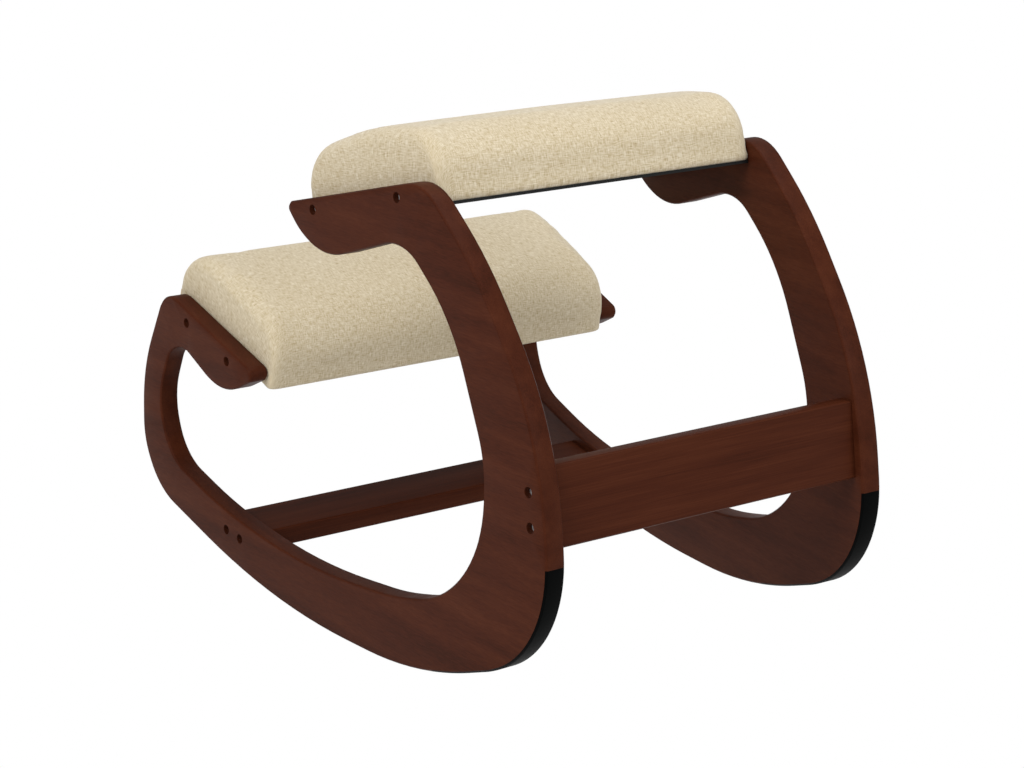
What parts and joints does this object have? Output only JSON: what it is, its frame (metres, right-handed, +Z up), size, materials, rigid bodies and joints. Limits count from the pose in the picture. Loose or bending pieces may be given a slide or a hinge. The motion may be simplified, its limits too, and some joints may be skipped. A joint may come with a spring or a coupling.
{
  "type": "kneeling chair",
  "caption": "Rocking kneeling chair: sloping padded seat and knee pad held between bent plywood side frames that end in rockers, tied by stretchers.",
  "frame": {"origin": "on the floor, midway between the side frames and midway along the rockers", "axes": "+X to the sitter's left, +Y from the knee pad towards the back of the seat, +Z up"},
  "size_m": [0.5142, 0.7215, 0.5331],
  "materials": {
    "side_frame": "dark reddish-brown stained and satin-lacquered birch plywood",
    "stretcher": "dark reddish-brown stained and satin-lacquered wood",
    "cushion_board": "bare birch plywood, unfinished",
    "foam": "open-cell upholstery foam",
    "seat_fabric": "beige linen-look woven upholstery fabric",
    "black_cloth": "thin black non-woven cloth",
    "base_panel": "black pressed board, matt",
    "rubber": "black satin rubber",
    "steel": "zinc-plated steel"
  },
  "bodies": {
    "root": {"left_side_frame": "side_frame", "left_rocker_strip": "rubber", "right_side_frame": "side_frame", "right_rocker_strip": "rubber", "rear_stretcher": "stretcher", "front_stretcher": "stretcher", "seat_board": "cushion_board", "knee_board": "cushion_board", "seat_foam": "foam", "knee_foam": "foam", "seat_cover": "seat_fabric", "knee_cover": "seat_fabric", "seat_base_panel": "base_panel", "knee_dust_sheet": "black_cloth", "left_seat_bolts": "steel", "left_seat_barrel_nuts": "steel", "right_seat_bolts": "steel", "right_seat_barrel_nuts": "steel", "left_knee_bolts": "steel", "left_knee_barrel_nuts": "steel", "right_knee_bolts": "steel", "right_knee_barrel_nuts": "steel", "left_front_stretcher_bolts": "steel", "left_front_stretcher_barrel_nuts": "steel", "right_front_stretcher_bolts": "steel", "right_front_stretcher_barrel_nuts": "steel", "left_rear_stretcher_bolts": "steel", "left_rear_stretcher_barrel_nuts": "steel", "right_rear_stretcher_bolts": "steel", "right_rear_stretcher_barrel_nuts": "steel"}
  },
  "joints": []
}
